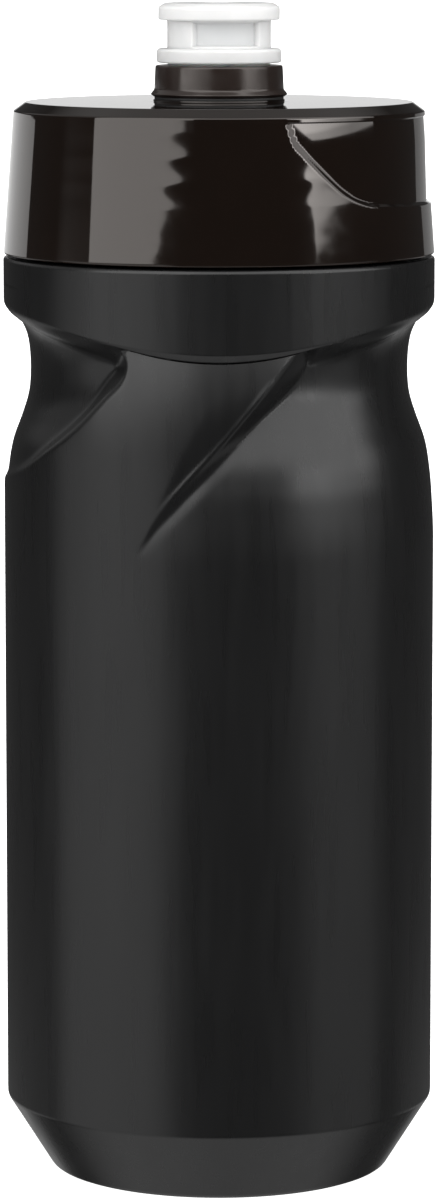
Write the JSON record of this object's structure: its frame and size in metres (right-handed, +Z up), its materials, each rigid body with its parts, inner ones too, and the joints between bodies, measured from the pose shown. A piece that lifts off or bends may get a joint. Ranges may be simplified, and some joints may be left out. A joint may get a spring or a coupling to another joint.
{
  "type": "sports squeeze bottle",
  "caption": "Sports squeeze bottle: soft round body with a finger waist, a screw lid and a push-pull drinking nozzle.",
  "frame": {"origin": "centre of the face that the bottle stands on", "axes": "+Z up along the bottle's axis, -Y the front face, +X the side with the lid's set-in wall"},
  "size_m": [0.0734, 0.0734, 0.2001],
  "materials": {
    "body_soft_black": "satin black low-density polyethylene with a fine moulded grain",
    "lid_smoke": "polished, nearly opaque smoke brown",
    "spout_smoke": "polished, nearly opaque smoke brown",
    "gasket_silicone": "matte pale grey silicone",
    "seal_black": "matte black rubber",
    "pin_white": "satin natural white",
    "core_white": "satin natural white",
    "mouth_soft_white": "soft translucent white elastomer"
  },
  "bodies": {
    "bottle": {"bottle_body": "body_soft_black"},
    "lid_carrier": {"lid_gasket": "gasket_silicone"},
    "lid": {"lid_shell": "lid_smoke", "spout_tube": "spout_smoke", "spout_seal": "seal_black", "plug_post": "pin_white"},
    "nozzle": {"nozzle_core": "core_white", "nozzle_seal": "seal_black", "mouthpiece": "mouth_soft_white"}
  },
  "joints": [
    {"name": "lid_rise", "type": "slide", "parent": "bottle", "child": "lid_carrier", "axis": [0, 0, 1], "range_m": [0, 0.021]},
    {"name": "lid_turn", "type": "hinge", "parent": "lid_carrier", "child": "lid", "pos_m": [0, 0, 0.17], "axis": [0, 0, 1], "range_deg": [0, 1800]},
    {"name": "nozzle_slide", "type": "slide", "parent": "lid", "child": "nozzle", "axis": [0, 0, 1], "range_m": [0, 0.006]}
  ],
  "couplings": [
    {"joint": "lid_rise", "follows": "lid_turn", "m_per_rad": 0.00066845}
  ]
}
